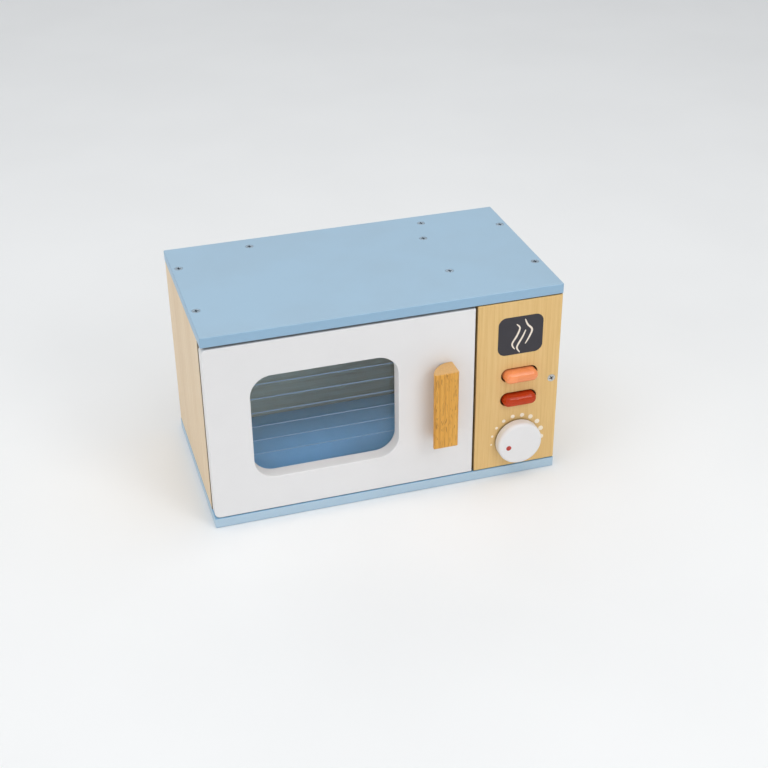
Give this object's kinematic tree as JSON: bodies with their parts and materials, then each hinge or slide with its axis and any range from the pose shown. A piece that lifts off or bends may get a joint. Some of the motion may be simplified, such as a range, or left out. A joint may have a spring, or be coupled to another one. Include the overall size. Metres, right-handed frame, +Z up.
{
  "type": "toy microwave oven",
  "caption": "Wooden pretend-play microwave oven with a hinged windowed door, a grip handle, sprung push buttons and a turning dial on a wooden control panel.",
  "frame": {"origin": "middle of the bottom board's underside, which stands on the table", "axes": "+Z up; the door and control panel face -Y; +X to the right seen from the front, from the door's hinge towards the control panel"},
  "size_m": [0.3, 0.1845, 0.178],
  "materials": {
    "blue_paint": "satin light blue paint on board",
    "white_paint": "satin white paint on board",
    "natural_wood": "clear matt varnish on pale wood",
    "panel_wood": "clear matt varnish on wood, vertical grain",
    "handle_wood": "oiled open-grained wood",
    "dowel_wood": "bare dowel",
    "smoked_acrylic": "smoke-tinted clear sheet",
    "orange_lacquer": "gloss light orange lacquer on wood",
    "red_lacquer": "gloss red-brown lacquer on wood",
    "white_lacquer": "satin white lacquer on wood",
    "screw_steel": "zinc plated",
    "pin_steel": "bright steel",
    "spring_steel": "bright spring wire",
    "magnet_nickel": "nickel plated",
    "nylon": "natural nylon",
    "felt": "wool felt"
  },
  "bodies": {
    "cabinet": {"top_panel": "blue_paint", "bottom_panel": "blue_paint", "left_side_panel": "natural_wood", "right_side_panel": "natural_wood", "back_panel": "natural_wood", "divider_panel": "natural_wood", "control_panel": "panel_wood", "control_panel_cleat": "natural_wood", "control_panel_screw": "screw_steel", "cleat_screws": "screw_steel", "top_panel_screws": "screw_steel", "bottom_panel_screws": "screw_steel", "hinge_washer": "nylon", "cabinet_magnet": "magnet_nickel", "upper_button_spring": "spring_steel", "lower_button_spring": "spring_steel", "spring_board": "natural_wood", "upper_spacer_rail": "natural_wood", "lower_spacer_rail": "natural_wood", "spring_board_screws": "screw_steel", "dial_felt_washer": "felt"},
    "door": {"door_panel": "white_paint", "window_pane": "smoked_acrylic", "pane_screws": "screw_steel", "door_handle": "handle_wood", "handle_screws": "screw_steel", "upper_hinge_pin": "pin_steel", "lower_hinge_pin": "pin_steel", "door_magnet": "magnet_nickel"},
    "upper_button": {"upper_button": "orange_lacquer"},
    "lower_button": {"lower_button": "red_lacquer"},
    "dial": {"dial_knob": "white_lacquer", "dial_shaft": "dowel_wood", "dial_washer": "pin_steel", "dial_screw": "screw_steel"}
  },
  "joints": [
    {"name": "door_hinge", "type": "hinge", "parent": "cabinet", "child": "door", "pos_m": [-0.1431, -0.0775, 0.0887], "axis": [0, 0, -1], "range_deg": [0, 110]},
    {"name": "upper_button_press", "type": "slide", "parent": "cabinet", "child": "upper_button", "axis": [0, 1, 0], "range_m": [0, 0.004], "stiffness_N_per_m": 500, "springref_m": -0.002, "deforming": ["upper_button_spring"]},
    {"name": "lower_button_press", "type": "slide", "parent": "cabinet", "child": "lower_button", "axis": [0, 1, 0], "range_m": [0, 0.004], "stiffness_N_per_m": 500, "springref_m": -0.002, "deforming": ["lower_button_spring"]},
    {"name": "dial_turn", "type": "hinge", "parent": "cabinet", "child": "dial", "pos_m": [0.114, -0.0835, 0.0358], "axis": [0, 1, 0], "continuous": true}
  ]
}
